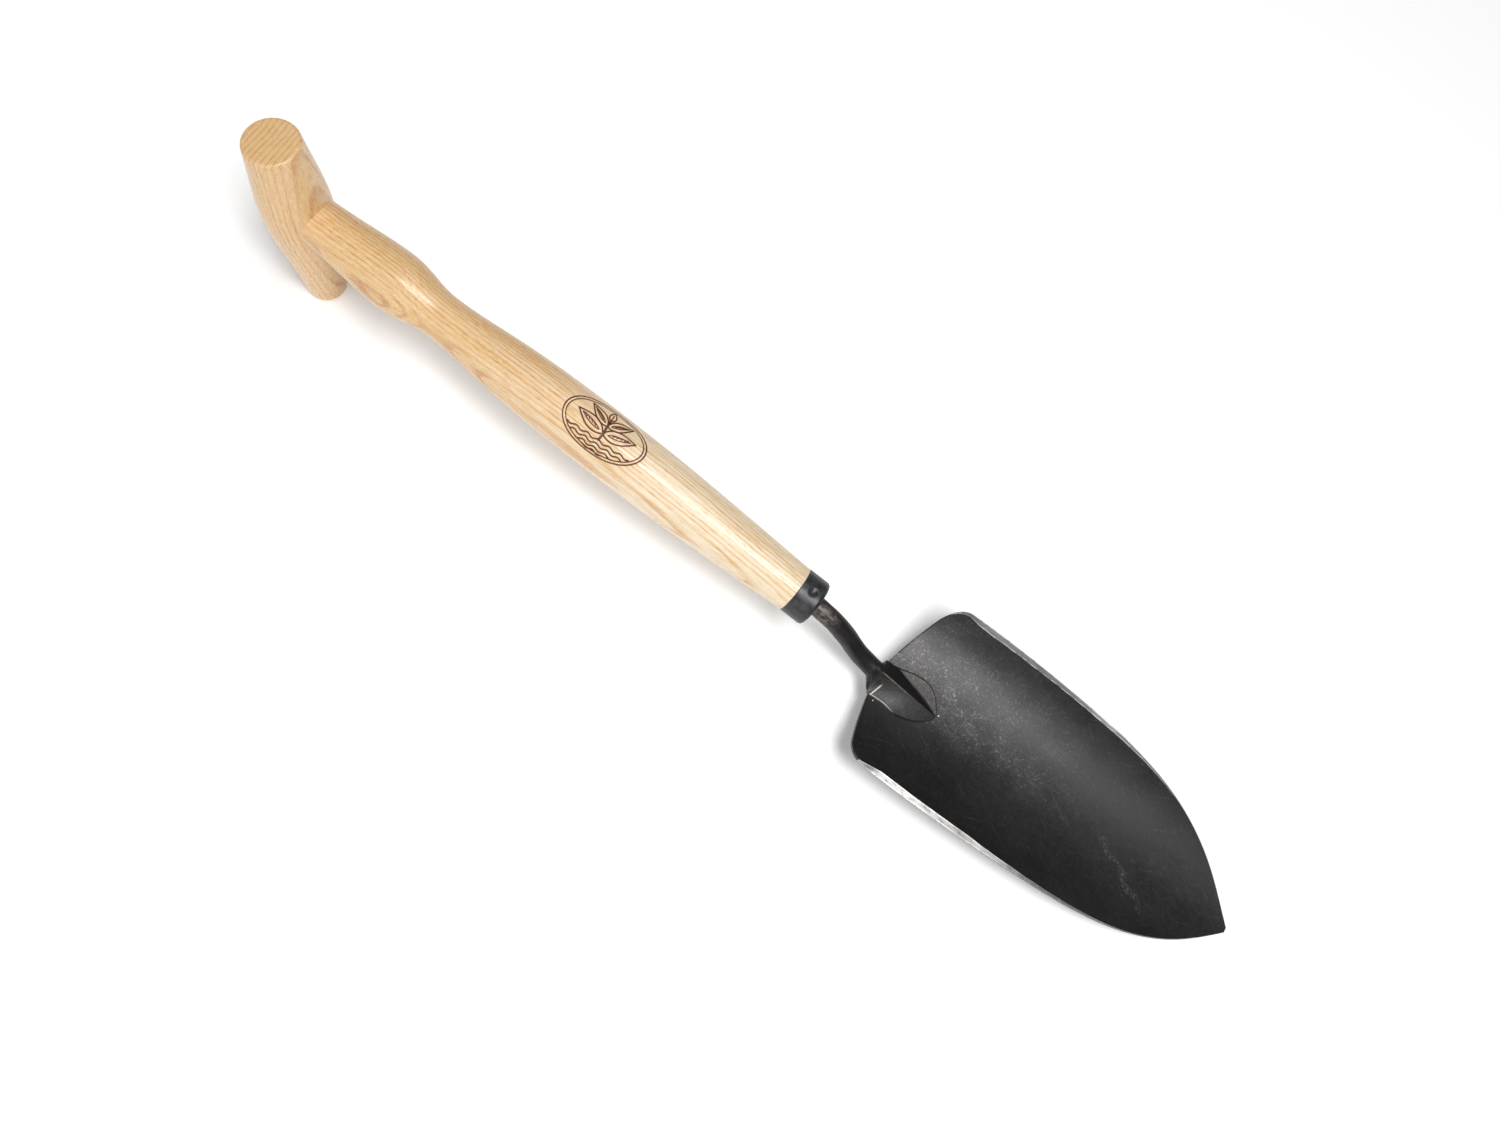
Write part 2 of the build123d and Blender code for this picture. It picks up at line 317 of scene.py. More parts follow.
class Look:
    """A node material. Its spot is where a point is in a frame of the piece's own, in millimetres."""

    def __init__(self, name, to_frame=TO_TOOL):
        self.material = bpy.data.materials.new(name)
        self.material.use_nodes = True
        self.tree = self.material.node_tree
        self.tree.nodes.clear()
        self.spot = self.add("TexCoord").outputs["Object"]
        if to_frame is not None:
            self.spot = self.add("Mapping", {
                "Vector": self.spot,
                "Location": to_frame.translation,
                "Rotation": to_frame.to_euler(),
                "Scale": to_frame.to_scale(),
            }).outputs["Vector"]

    def add(self, kind, inputs=None, **settings):
        """A node with its settings. Its inputs are numbers, or values and sockets to link."""
        node = self.tree.nodes.new("ShaderNode" + kind)
        for name, value in settings.items():
            setattr(node, name, value)
        for key, value in (inputs or {}).items():
            if isinstance(value, Value):
                value = value.socket
            if isinstance(value, bpy.types.NodeSocket):
                self.tree.links.new(value, node.inputs[key])
            else:
                node.inputs[key].default_value = value
        return node

    def value(self, kind, output, inputs=None, **settings):
        """A new node's output as a value."""
        return Value(self, self.add(kind, inputs, **settings).outputs[output])

    def axes(self):
        """X, Y and Z of the spot."""
        parts = self.add("SeparateXYZ", {"Vector": self.spot})
        return [Value(self, parts.outputs[axis]) for axis in "XYZ"]

    def noise(self, across, spot=None, **inputs):
        """Noise whose grains have these lengths, in millimetres, along X, Y and Z."""
        scale = [1 / length for length in across]
        vector = self.add("Mapping", {"Vector": spot or self.spot, "Scale": scale}).outputs["Vector"]
        return self.value("TexNoise", "Fac", {"Vector": vector, "Scale": 1.0, **inputs})

    def stored(self, name):
        """A number that place() has stored on the piece's points."""
        return self.value("Attribute", "Fac", attribute_name=name)

    def mix(self, factor, a, b):
        """Colour a, turning into colour b with factor."""
        inputs = {"Factor": factor}
        for key, colour in ((MIX_A, a), (MIX_B, b)):
            inputs[key] = (*colour, 1) if isinstance(colour, tuple) else colour
        return self.add("Mix", inputs, data_type="RGBA").outputs[MIX_RESULT]

    def finish(self, bump=None, **inputs):
        """The material with its shader. bump is (height, strength, distance in millimetres)."""
        named = {name.replace("_", " "): value for name, value in inputs.items()}
        if bump:
            height, strength, distance = bump
            named["Normal"] = self.add("Bump", {
                "Height": height, "Strength": strength, "Distance": distance * MM,
            }).outputs["Normal"]
        shader = self.add("BsdfPrincipled", named)
        self.add("OutputMaterial", {"Surface": shader.outputs["BSDF"]})
        return self.material


def ash(name, to_grain, pith, ring_width, slope, warm_and_shade_at, figure=1.0, contrast=1.0):
    """Varnished ash. Its rings are centred on a far pith line, in a frame with X along the grain."""
    look = Look(name, to_grain)
    along, y, z = look.axes()
    from_pith = look.add("CombineXYZ", {"Y": y - pith[0], "Z": z - pith[1]}).outputs["Vector"]
    distance = look.value("VectorMath", "Value", {"Vector": from_pith}, operation="LENGTH")
    wander = look.noise((90, 11, 11), Detail=2.0)
    waver = look.noise((14, 0.9, 0.9), Detail=2.0)
    depth = distance + along * slope + wander * (3.0 * figure) + waver * (0.45 * figure)
    year = depth.maths("DIVIDE", ring_width).maths("FRACT")
    early = year.ramp(0.0, 0.10) * year.ramp(0.55, 0.14)
    strong = look.noise((45, 2.4, 2.4), Detail=1.0).ramp(0.3, 0.6, 0.5, 1.0)
    dashes = look.noise((6.5, 0.26, 0.26), Detail=2.0).ramp(0.38, 0.56, 0.6, 1.0)
    streak = look.noise((26, 0.42, 0.42), Detail=2.0, Roughness=0.6).ramp(0.47, 0.68)
    line = (early * strong * dashes).maths("MAXIMUM", streak * 0.5) * contrast
    fibre = look.noise((9, 0.24, 0.24), Detail=3.0, Roughness=0.65)
    pore = look.noise((3.0, 0.17, 0.17), Detail=1.0).ramp(0.58, 0.68) * line.ramp(0.0, 1.0, 0.4, 1.0)
    band = look.noise((70, 3.4, 3.4), Detail=2.0)
    # Warmer, darker tone in random bands and towards the shaft's grip end. It is partly the wood's own
    # tone and partly painted shade, where the shaft gets less light towards the grip.
    warm_and_shade = (along.ramp(*warm_and_shade_at) + band.ramp(0.42, 0.72, -0.08, 0.5)).maths("MAXIMUM")
    pale = look.mix(warm_and_shade, WOOD_PALE, WOOD_WARM)
    dark = look.mix(warm_and_shade, LINE_PALE, LINE_WARM)
    colour = look.mix(line, pale, dark)
    colour = look.mix(fibre.ramp(0.35, 0.7, 0.0, 0.30), colour, (0.95, 0.85, 0.67))
    colour = look.mix(pore * 0.45, colour, (0.42, 0.16, 0.04))
    colour = look.mix(look.stored("stain"), colour, (0.30, 0.12, 0.045))
    burn = look.stored("burn")
    colour = look.mix(burn.ramp(0.02, 0.4, 0.0, 0.8), colour, (0.44, 0.175, 0.055))
    uneven = look.noise((2.0, 0.6, 0.6)).ramp(0.35, 0.65)
    scorch = look.mix(uneven, (0.030, 0.007, 0.003), (0.12, 0.032, 0.010))
    colour = look.mix(burn.ramp(0.3, 0.75), colour, scorch)
    ripple = look.noise((7, 0.9, 0.9), Detail=2.0)
    height = fibre * 0.8 + ripple * 0.8 - pore - line * 0.35
    rough = fibre.ramp(0.3, 0.7, 0.24, 0.38) + burn * 0.3
    return look.finish(
        bump=(height, 0.8, 0.07), Base_Color=colour, Roughness=rough, Specular_IOR_Level=0.5,
        Coat_Weight=0.2, Coat_Roughness=0.15, Coat_IOR=1.5,
    )


def curls(look, size, width, kept):
    """Short curly lines: level lines of one noise, kept where another noise is high."""
    curl = look.noise((size, size, size), Detail=1.0, Distortion=1.0)
    line = (curl - 0.5).maths("ABSOLUTE").ramp(width, 0.4 * width)
    return line * look.noise((0.8 * size, 0.8 * size, size), Detail=2.0).ramp(*kept)


def oxide(look, dark, light, speckle):
    """Colour, roughness and height of black forge scale with fine pale curls and brown flecks."""
    cloud = look.noise((26, 17, 17), Detail=5.0, Roughness=0.65)
    colour = look.mix(cloud.ramp(0.35, 0.7), dark, light)
    fine = look.noise((0.5, 0.5, 0.5), Detail=3.0, Roughness=0.7)
    colour = look.mix(fine.ramp(0.5, 0.8, 0.0, 0.3), colour, (0.045, 0.042, 0.041))
    mottle = look.noise((2.4, 1.8, 1.8), Detail=4.0, Roughness=0.7)
    colour = look.mix(mottle.ramp(0.42, 0.70) * speckle, colour, (0.085, 0.075, 0.076))
    small = curls(look, 0.8, 0.05, (0.56, 0.64))
    specks = curls(look, 1.5, 0.045, (0.52, 0.60)).maths("MAXIMUM", small) * speckle
    colour = look.mix(specks, colour, (0.42, 0.40, 0.385))
    fleck = look.noise((1.0, 1.0, 1.0), Detail=1.0, Distortion=0.5).ramp(0.68, 0.74)
    colour = look.mix(fleck * 0.5, colour, (0.075, 0.035, 0.02))
    rough = cloud.ramp(0.3, 0.7, 0.37, 0.43) + mottle.ramp(0.3, 0.7, 0.0, 0.07) + specks * 0.12
    return colour, rough, fine + specks


def scratches(look, turn, length, width, low):
    """Fine straight scratches that run at an angle to the shaft."""
    turned = look.add("Mapping", {"Vector": look.spot, "Rotation": (0, 0, radians(turn))})
    marks = look.noise((length, width, 60), turned.outputs["Vector"], Detail=1.0, Roughness=0.4)
    return marks.ramp(low, low + 0.05)


def blade_steel():
    """Black scale, worn paler around the middle of the rear half, with scratches and a scuff. The paler
    tone there and the pale curls packed along y = 12 are partly painted highlight.
    """
    look = Look("black_scale_steel")
    x, y, _ = look.axes()
    blots = look.noise((13, 9, 9), Detail=3.0).ramp(0.36, 0.62, 0.3, 1.0)
    # Wear with painted highlight: the middle of the rear half, where the overhead light's highlight
    # falls, is painted paler and gets more pale curls.
    wear_and_highlight = x.ramp(150, 62) * y.ramp(-13, 5) * y.ramp(33, 18, 0.12, 1.0) * blots + 0.05
    # Painted glints: pale curls packed along the highlight band near y = 12 in the rear half.
    glint_band = (y - 12).maths("ABSOLUTE").ramp(11, 3) * x.ramp(105, 50)
    speckle = wear_and_highlight * (glint_band + 0.55)
    colour, rough, height = oxide(look, (0.0050, 0.0044, 0.0052), (0.0105, 0.0095, 0.0108), speckle)
    # Paler tone in the middle of the rear half: partly wear, partly painted highlight.
    colour = look.mix(wear_and_highlight * 0.30, colour, (0.14, 0.134, 0.145))
    lines = scratches(look, 32, 26, 0.22, 0.72) + scratches(look, -24, 17, 0.18, 0.735)
    waver = look.noise((7, 7, 7), Detail=3.0).ramp(0.25, 0.75, -2.2, 2.2)
    off_line = y + x * SCUFF_SLANT + SCUFF_AT + waver
    blot = look.noise((0.9, 0.9, 0.9), Detail=4.0, Roughness=0.7).ramp(0.46, 0.62)
    scuff = off_line.maths("ABSOLUTE").ramp(2.2, 0.4) * x.ramp(142, 160) * x.ramp(188, 176) * blot
    worn = (lines + scuff).maths("MINIMUM", 1.0)
    colour = look.mix(worn * 0.35, colour, (0.20, 0.19, 0.185))
    return look.finish(
        bump=(height, 0.5, 0.03), Base_Color=colour, Roughness=rough, Specular_IOR_Level=0.43,
    )


def ground_steel():
    """Bare ground steel with grinding lines and dark patches, a painted highlight along the strips'
    edges, and painted shade that makes the left strip darker than the right.
    """
    look = Look("ground_steel")
    x, y, _ = look.axes()
    lines = look.noise((8, 0.22, 0.4), Detail=3.0, Roughness=0.65)
    patches = look.noise((3.4, 0.9, 2), Detail=4.0, Roughness=0.7) + x.ramp(95, 190, 0.0, 0.26)
    dull = patches.ramp(0.50, 0.64, 0.0, 0.8)
    shaded_left_tone = look.mix(lines, (0.15, 0.145, 0.145), (0.36, 0.35, 0.345))
    lit_right_tone = look.mix(lines, (0.23, 0.222, 0.218), (0.52, 0.508, 0.495))
    # Painted shade: the left strip takes a darker copy of the right strip's tone.
    colour = look.mix(y.ramp(10, -10), shaded_left_tone, lit_right_tone)
    edge = look.stored("edge")
    broken = look.noise((2.6, 1.5, 2), Detail=3.0).ramp(0.34, 0.52)
    # Painted highlight along the strips' edges, broken up by a noise.
    colour = look.mix(edge * broken, colour, (0.80, 0.785, 0.77))
    colour = look.mix(dull * (1.0 - edge), colour, (0.16, 0.145, 0.14))
    rough = lines.ramp(0.3, 0.7, 0.34, 0.5) + dull * 0.1
    return look.finish(bump=(lines, 0.5, 0.03), Base_Color=colour, Roughness=rough, Metallic=0.45)


def neck_steel():
    """Forged bar, scaled and lightly hammered, worn bright at the foot's edge with painted highlights
    there and on its crest, painted shade and shadow at the foot's ridge and rim, and brown at the bend
    as a scuff that is also a painted highlight.
    """
    look = Look("forged_bar_steel")
    x, y, _ = look.axes()
    # Painted highlight with a scuff: a brownish patch on the bar's right half near the ferrule, where
    # the light catches it.
    scuff_and_highlight = x.ramp(13, 4, 0.0, 0.75) * y.ramp(2.6, -0.5)
    on_foot = x.ramp(FOOT_REAR - 2, FOOT_REAR + 6, 0.0, 0.08)
    # Worn places with painted highlights on the foot's edges and crest. Values below 0 are painted shade
    # and shadow.
    bare = look.stored("bare")
    speckle = (on_foot + bare * 4.0).maths("MAXIMUM").maths("MINIMUM", 0.6)
    colour, rough, height = oxide(look, (0.0065, 0.0058, 0.0056), (0.014, 0.0125, 0.012), speckle)
    colour = look.mix(on_foot, colour, (0.075, 0.068, 0.066))
    blot = look.noise((2.0, 0.6, 0.6), Detail=5.0, Roughness=0.7).ramp(0.40, 0.66)
    colour = look.mix(scuff_and_highlight * blot, colour, (0.29, 0.24, 0.215))
    broken = look.noise((1.4, 0.7, 0.7), Detail=3.0).ramp(0.28, 0.50, 0.35, 1.0)
    # Worn metal, partly painted highlight.
    rub_and_highlight = bare.maths("MAXIMUM") * broken
    colour = look.mix(rub_and_highlight, colour, (0.70, 0.65, 0.58))
    # Painted shade and shadow: negative values are painted near black, as shade on the ridge's left
    # flank and as shadow in the gap around the foot. The beads' feet get the same near black.
    colour = look.mix(bare.ramp(0.0, -0.45), colour, (0.0015, 0.0013, 0.0013))
    dents = look.noise((4.5, 2.6, 2.6), Detail=2.0)
    return look.finish(
        bump=(height * 0.35 + dents * 1.6, 0.5, 0.12),
        Base_Color=colour, Roughness=rough + bare.ramp(0.0, -0.7, 0.0, 0.3),
        Metallic=rub_and_highlight.ramp(0.0, 1.0, 0.0, 0.5), Specular_IOR_Level=0.4,
    )


def ferrule_steel(name, dark, light):
    """Blued steel with drawing marks around it and small knocks."""
    look = Look(name)
    draw = look.noise((0.22, 6, 6), Detail=2.0)
    cloud = look.noise((3.5, 3.5, 3.5), Detail=4.0, Roughness=0.7)
    colour = look.mix(cloud.ramp(0.35, 0.68), dark, light)
    knock = look.noise((0.9, 0.7, 0.7), Detail=3.0).ramp(0.66, 0.74)
    colour = look.mix(knock * 0.5, colour, (0.18, 0.185, 0.19))
    rough = cloud.ramp(0.3, 0.7, 0.31, 0.43) + draw * 0.06
    return look.finish(
        bump=(draw * 0.3 + cloud * 0.8, 0.35, 0.05), Base_Color=colour, Roughness=rough, Metallic=0.35,
    )


def plain_floor():
    """Pale matt floor with a faint mottle."""
    look = Look("pale_floor", None)
    cloud = look.value("TexNoise", "Fac", {"Vector": look.spot, "Scale": 3.0, "Detail": 3.0})
    colour = look.mix(cloud, (0.93, 0.93, 0.93), (0.95, 0.95, 0.95))
    return look.finish(Base_Color=colour, Roughness=0.7,
                       Emission_Color=(1, 1, 1, 1), Emission_Strength=0.17)


# ---- blade ----


def hollow(x, y):
    """Height of the blade's hollow face."""
    bottom = -HOLLOW_DROP + (x - BLADE_REAR) * tan(RISE)
    return bottom + (HOLLOW_RADIUS - sqrt(HOLLOW_RADIUS ** 2 - y * y)) / cos(RISE)


def back(x, y):
    """Height of the blade's back."""
    bottom = -HOLLOW_DROP + (x - BLADE_REAR) * tan(RISE)
    outer = HOLLOW_RADIUS + THICKNESS
    return bottom + (HOLLOW_RADIUS - sqrt(outer ** 2 - y * y)) / cos(RISE)


def edge_top(x, y):
    """Height of the cut edge's upper side, which is ground down along the sides."""
    return min(hollow(x, y), -GROUND_DROP + (x - GROUND_AT) * tan(GROUND_RISE))


def wave(x, y):
    """Slight unevenness of the forged sheet, level at its point."""
    rough = noise.noise(Vector((x / 34, y / 21, 0.3))) + 0.35 * noise.noise(Vector((x / 11, y / 9, 4.1)))
    return WAVE * rough * ease(BLADE_POINT - x, 4, 40)


def blade_half(shoulder, sign):
    """Half the rear edge, and one side from the middle of its corner to the point."""
    sweep, radius = shoulder
    across = HALF_WIDTH - radius
    rear = [(BLADE_REAR + sweep * (0.8 * t + 0.2 * t * t), across * t) for t in np.linspace(0, 1, 30)]
    slope = np.array((1.2 * sweep / across, 1.0))
    corner_end = (BLADE_REAR + sweep + radius, HALF_WIDTH - 0.3)
    corner = smooth_curve([rear[-1], corner_end], slope / np.linalg.norm(slope), (1, 0.04), 24)
    points = [(BLADE_POINT - behind, HALF_WIDTH - narrower) for behind, narrower in SIDE]
    side = smooth_curve([corner_end, *points, (BLADE_POINT, POINT_BLUNT)], (1, 0.04), POINT_SLOPE, 300)
    edge = np.concatenate([rear, corner[1:13]]), np.concatenate([corner[12:], side[1:]])
    return [part * np.array((1, sign)) for part in edge]


def blade_outline(along, across):
    """The closed outline from above, in even steps: rear, left side, point and right side."""
    left_rear, left_side = blade_half(LEFT_SHOULDER, 1)
    right_rear, right_side = blade_half(RIGHT_SHOULDER, -1)
    rear = evenly(np.concatenate([right_rear[::-1], left_rear[1:]]), across)
    left, right = evenly(left_side, along), evenly(right_side, along)
    front = np.linspace(right[-1], left[-1], across + 1)
    return np.concatenate([rear[:-1], left[:-1], front[:0:-1], right[:0:-1]])


def inset(loop, distance):
    """The closed loop moved inwards."""
    direction = np.roll(loop, -1, axis=0) - np.roll(loop, 1, axis=0)
    direction /= np.linalg.norm(direction, axis=1)[:, None]
    inwards = np.stack([direction[:, 1], -direction[:, 0]], axis=1)
    return loop + inwards * distance


def ground_line(outline, inner):
    """The inner loop, moved in to where the ground edge begins along each side."""
    line = inner.copy()
    for k, ((x, y), (_, inner_y)) in enumerate(zip(outline, inner)):
        table = LEFT_GROUND if y > 0 else RIGHT_GROUND
        width = np.interp(x, *zip(*table))
        width *= 1 + 0.10 * noise.noise(Vector((x / 7, copysign(3, y), 0)))
        limit = abs(y) - width
        if abs(y) > 8 and limit < abs(inner_y) and table[0][0] < x < table[-1][0]:
            line[k, 1] = copysign(limit, y)
    return line


def patch(loop, along, across):
    """A grid of points inside a closed loop, blended from its four sides."""
    rear = loop[:across + 1]
    left = loop[across:across + along + 1]
    front = loop[across + along:2 * across + along + 1][::-1]
    right = np.concatenate([loop[2 * across + along:], loop[:1]])[::-1]
    grid = np.zeros((along + 1, across + 1, 2))
    for i in range(along + 1):
        u = i / along
        for j in range(across + 1):
            v = j / across
            grid[i, j] = (
                (1 - v) * right[i] + v * left[i] + (1 - u) * rear[j] + u * front[j]
                - (1 - u) * (1 - v) * rear[0] - (1 - u) * v * rear[-1]
                - u * (1 - v) * front[0] - u * v * front[-1]
            )
    return grid


def rim_index(along, across):
    """Places in the grid of the points of its rim, in the loop's order."""
    rim = [(0, j) for j in range(across)] + [(i, across) for i in range(along)]
    rim += [(along, j) for j in range(across, 0, -1)] + [(i, 0) for i in range(along, 0, -1)]
    return [i * (across + 1) + j for i, j in rim]


def strip_rows(outline, rim_points):
    """Rows of points from the ground strips' inner line to their edge, and down to the back's edge."""
    rows = [([], painted_highlight) for _, painted_highlight in STRIP] + [([], 0.0)]
    for (x, y), inner in zip(outline, rim_points):
        bottom = back(x, y)
        top = max(edge_top(x, y), bottom + 0.2)
        soften = min(0.3, 0.3 * (top - bottom))
        outer = (x, y, top - soften + wave(x, y))
        for (row, _), (part, _) in zip(rows, STRIP):
            row.append(tuple(a + (b - a) * part for a, b in zip(inner, outer)))
        rows[-1][0].append((x, y, bottom + soften + wave(x, y)))
    return rows


def make_blade():
    """Dished blade: hollow face, ground strips, cut edge and back, as one closed skin."""
    along, across = 170, 64
    outline = blade_outline(along, across)
    inner = inset(outline, EDGE_EASE)
    upper = patch(ground_line(outline, inner), along, across).reshape(-1, 2)
    lower = patch(inner, along, across).reshape(-1, 2)
    points = [(x, y, hollow(x, y) + wave(x, y)) for x, y in upper]
    points += [(x, y, back(x, y) + wave(x, y)) for x, y in lower]
    size, rim = len(upper), rim_index(along, across)
    faces, kinds = [], []
    for i in range(along):
        for j in range(across):
            a = i * (across + 1) + j
            quad = (a, a + 1, a + across + 2, a + across + 1)
            faces += [quad, tuple(k + size for k in quad)]
            kinds += [0, 0]
    # Painted highlight: each row of the ground strips carries how brightly it is painted, brightest near
    # the inner line where the burr catches the light.
    edge = [0.0] * len(points)
    rows = strip_rows(outline, [points[k] for k in rim])
    count, first = len(rim), len(points)
    for row, painted_highlight in rows:
        points += row
        edge += [painted_highlight] * count
    levels = [rim] + [[first + r * count + k for k in range(count)] for r in range(len(rows))]
    levels.append([k + size for k in rim])
    for level, (upper_row, lower_row) in enumerate(zip(levels, levels[1:])):
        for k in range(count):
            n = (k + 1) % count
            faces.append((upper_row[k], upper_row[n], lower_row[n], lower_row[k]))
            x, y = outline[k]
            kinds.append(1 if level < len(STRIP) and abs(y) > 10 and BLADE_REAR + 9 < x else 0)
    return place("forged_blade", points, faces, [blade_steel(), ground_steel()], "blade",
                 "forged_blade", kinds, sharp=28, edge=edge)


# ---- neck and foot ----


def neck_path():
    """Centres and directions along the cranked neck, in the XZ plane."""
    bend = NECK_DROP / 2 / (1 - cos(NECK_BEND))
    path = [(x, 0.0, 0.0) for x in np.linspace(-2.0, NECK_STRAIGHT, 6)]
    for a in np.linspace(0, NECK_BEND, 34)[1:]:
        path.append((NECK_STRAIGHT + bend * sin(a), -bend * (1 - cos(a)), -a))
    x, z = path[-1][:2]
    for a in np.linspace(NECK_BEND, 0, 44)[1:]:
        path.append((x + bend * (sin(NECK_BEND) - sin(a)),
                     z - bend * (cos(a) - cos(NECK_BEND)), -a))
    x, z = path[-1][:2]
    path += [(x + step, z, 0.0) for step in np.linspace(0, FOOT_REAR + 0.6 - x, 4)[1:]]
    return path


def foot_side(widths):
    """Half the foot's outline: distance from the ridge against the place along the blade."""
    points = [(BLADE_REAR + along, across) for along, across in widths[1:]] + [(FOOT_TIP, 0)]
    side = smooth_curve(points, (1, -0.05), (0.148, -0.989), 80)
    return np.concatenate([[(BLADE_REAR, widths[0][1])], side])


FOOT_SIDES = {1: foot_side(FOOT_LEFT), -1: foot_side(FOOT_RIGHT)}


def foot_width(x, sign):
    """How far the foot reaches from its ridge, to the left or to the right."""
    return max(float(np.interp(x, FOOT_SIDES[sign][:, 0], FOOT_SIDES[sign][:, 1])), 0.01)


def along_foot(x):
    """0 at the foot's rear and 1 at its tip."""
    return min(max((x - FOOT_REAR) / (FOOT_TIP - FOOT_REAR), 0.0), 1.0)


def roof_width(x):
    """How far the ridge's straight left flank reaches."""
    return min(max(ROOF_HALF_WIDTH * (1 - along_foot(x)) ** 0.9, 0.01), 0.98 * foot_width(x, 1))


def crest(x):
    """Height of the ridge's crest."""
    top = -NECK_DROP + NECK_RADIUS
    tip = hollow(FOOT_TIP, -FOOT_ASIDE) + FOOT_THICKNESS
    return top + (tip - top) * along_foot(x) ** 0.93


def plate(x, across):
    """Height of the foot's flat part."""
    return hollow(x, across - FOOT_ASIDE) + FOOT_THICKNESS


def foot_height(x, across):
    """Height of the foot's face: a straight flank left of the ridge and a fanned one on its right."""
    if across >= 0:
        reach = roof_width(x)
        fall = min(across / reach, 1.0)
        return crest(x) + (plate(x, reach) - crest(x)) * fall if fall < 1 else plate(x, across)
    lift = crest(x) - plate(x, 0)
    return plate(x, across) + lift * (1 - min(-across / foot_width(x, -1), 1.0)) ** 1.25


def rear_roof(turn):
    """The foot's rear section, at an angle from the crest around the bar: distance across and height."""
    side = 1 if turn <= pi else -1
    fall = min(turn, 2 * pi - turn) / radians(105)
    width = foot_width(FOOT_REAR, side) - 0.3
    if fall <= 1:
        across = side * width * fall
        return across, foot_height(FOOT_REAR, across) - 0.05
    back_in = (fall - 1) / (pi / radians(105) - 1)
    across = side * width * (1 - back_in)
    return across, plate(FOOT_REAR, across) - FOOT_THICKNESS - 0.5 * THICKNESS


def neck_rings(sectors=72):
    """Rings around the leaning bar, which spreads into the foot just behind the blade."""
    rings = []
    for x, z, a in neck_path():
        up, loop = Vector((-sin(a), 0, cos(a))), []
        aside = -x * tan(NECK_LEAN)
        for j in range(sectors):
            turn = 2 * pi * j / sectors
            y = sin(turn)
            radius = NECK_RADIUS + 0.12 * noise.noise(Vector((x / 5, y * 1.6, z / 5 + cos(turn))))
            p = Vector((x, aside, z)) + up * (radius * cos(turn)) + Vector((0, radius * y, 0))
            flare = FLARE if turn > pi else 0.45 * FLARE
            spread = ease(x, FOOT_REAR - flare, FOOT_REAR + 0.2)
            across, height = rear_roof(turn)
            loop.append(p.lerp(Vector((x, across - FOOT_ASIDE, height)), spread))
        rings.append(loop)
    return rings


def foot_columns(x):
    """Distances across the foot at x, close together at its edges and at the ridge's crest and base."""
    right, left, base = foot_width(x, -1), foot_width(x, 1), roof_width(x)
    near_edge = (0.0, 0.12, 0.28, 0.45, 0.62, 0.8)
    columns = [-right + min(e, 0.3 * right) for e in near_edge]
    columns += list(np.linspace(columns[-1], -0.4 * min(right, 1), 18)[1:])
    columns += [-0.18 * min(right, 1), 0.0, 0.18 * min(base, 1)]
    columns += list(np.linspace(columns[-1], base, 13)[1:])
    flat = left - base
    columns += [base + flat * t for t in (0.15, 0.3, 0.45, 0.6)]
    return columns + [left - e * min(0.3 * flat, 0.8) / 0.8 for e in reversed(near_edge)]


def step_line(across):
    """Where the step behind the foot's right half runs."""
    return FOOT_REAR + STEP_SLANT * (across + 3.2)


def foot_wear_and_light(x, across, right, left):
    """How worn and how lit the foot is at a point: 1 worn bright, with painted highlight on its edges
    and crest, 0 scaled, and -1 painted near black, which is painted shade on the ridge's left flank and
    painted shadow in the gap around the foot.
    """
    rear_line = step_line(across) + 3.2
    rear_edge = 0.7 * ease(-across, 3.3, 4.6) * ease(0.45 - abs(x - rear_line), 0, 0.35)
    from_right, from_left = right + across, left - across
    # The right edge's bright line is partly wear and partly painted highlight, where the edge catches
    # the light.
    side_edge = 0.5 * ease(0.45 - from_right, 0, 0.15) * ease(FOOT_REAR + 16 - x, 0, 8) * (x > rear_line)
    # Painted highlight along the crest, with a little wear.
    ridge = 0.20 * ease(0.34 - abs(across), 0, 0.2) * ease(FOOT_REAR + 20 - x, 0, 16)
    # Painted shadow: a near-black line in the gap between the foot and the blade, all along its left
    # side and forward on its right.
    seam = ease(0.62 - from_left, 0, 0.15)
    seam += ease(0.62 - from_right, 0, 0.15) * ease(x, FOOT_REAR + 12, FOOT_REAR + 17)
    # Painted shade on the ridge's left flank, which faces away from the light.
    flank = 0.45 * ease(across, 0.2, 0.5) * ease(roof_width(x) - across, -0.1, 0.2)
    flat = 0.06 * ease(across - roof_width(x), 0.0, 0.4)
    return max(rear_edge, side_edge, ridge, flat) - min(max(seam, flank), 1.0)


def foot_rings():
    """Closed rings across the foot and what is sunk in the blade, and how worn each point is, with the
    light and shade painted on it.
    """
    rings, bare = [], []
    length = FOOT_TIP - FOOT_REAR - 0.02
    places = [0.012 * k for k in range(14)] + [0.168 + 0.832 * sin(pi / 2 * t)
                                               for t in np.linspace(0, 1, 58)[1:]]
    for s in places:
        x = FOOT_REAR + length * s
        right, left, top, wear_and_light = foot_width(x, -1), foot_width(x, 1), [], []
        for across in foot_columns(x):
            edge = min((right + across if across < 0 else left - across) / 0.3, 1.0)
            round_off = 0.35 * FOOT_THICKNESS * (1 - sqrt(max(1 - (1 - edge) ** 2, 0)))
            behind = step_line(across) + 3.0 - x
            step = 0.5 * ease(behind, 0, 0.4) * ease(-across, 2.6, 4.0)
            top.append(Vector((x, across - FOOT_ASIDE, foot_height(x, across) - round_off - step)))
            wear_and_light.append(foot_wear_and_light(x, across, right, left))
        under = [Vector((p.x, p.y, hollow(p.x, p.y) - 0.4)) for p in reversed(top)]
        rings.append(top + under)
        bare += wear_and_light + list(reversed(wear_and_light))
    return rings, bare


